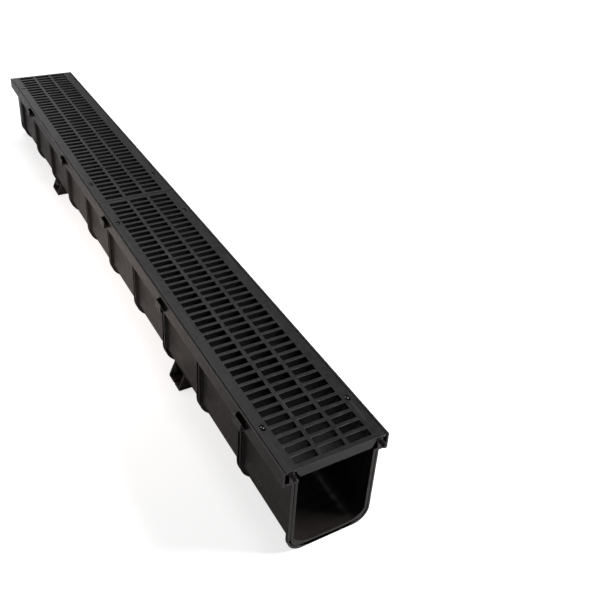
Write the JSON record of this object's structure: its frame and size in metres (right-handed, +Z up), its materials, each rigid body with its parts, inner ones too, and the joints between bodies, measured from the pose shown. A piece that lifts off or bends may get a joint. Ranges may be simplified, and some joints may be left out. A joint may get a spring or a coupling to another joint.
{
  "type": "channel drain",
  "caption": "Straight plastic drainage channel with a deep ribbed trough, stepped rim and fixing lugs, covered by slotted gratings that drop in flush.",
  "frame": {"origin": "on the plane the channel stands on, midway across and midway along its laying length", "axes": "+Z up; Y along the channel with the spigot end at -Y and the socket end at +Y; X across"},
  "size_m": [0.118, 1.0075, 0.1045],
  "materials": {
    "channel_plastic": "satin, faint moulding sheen",
    "grating_plastic": "satin, slightly lighter on the edges"
  },
  "bodies": {
    "root": {"channel_body": "channel_plastic", "grating_spigot_end": "grating_plastic", "grating_socket_end": "grating_plastic"}
  },
  "joints": []
}
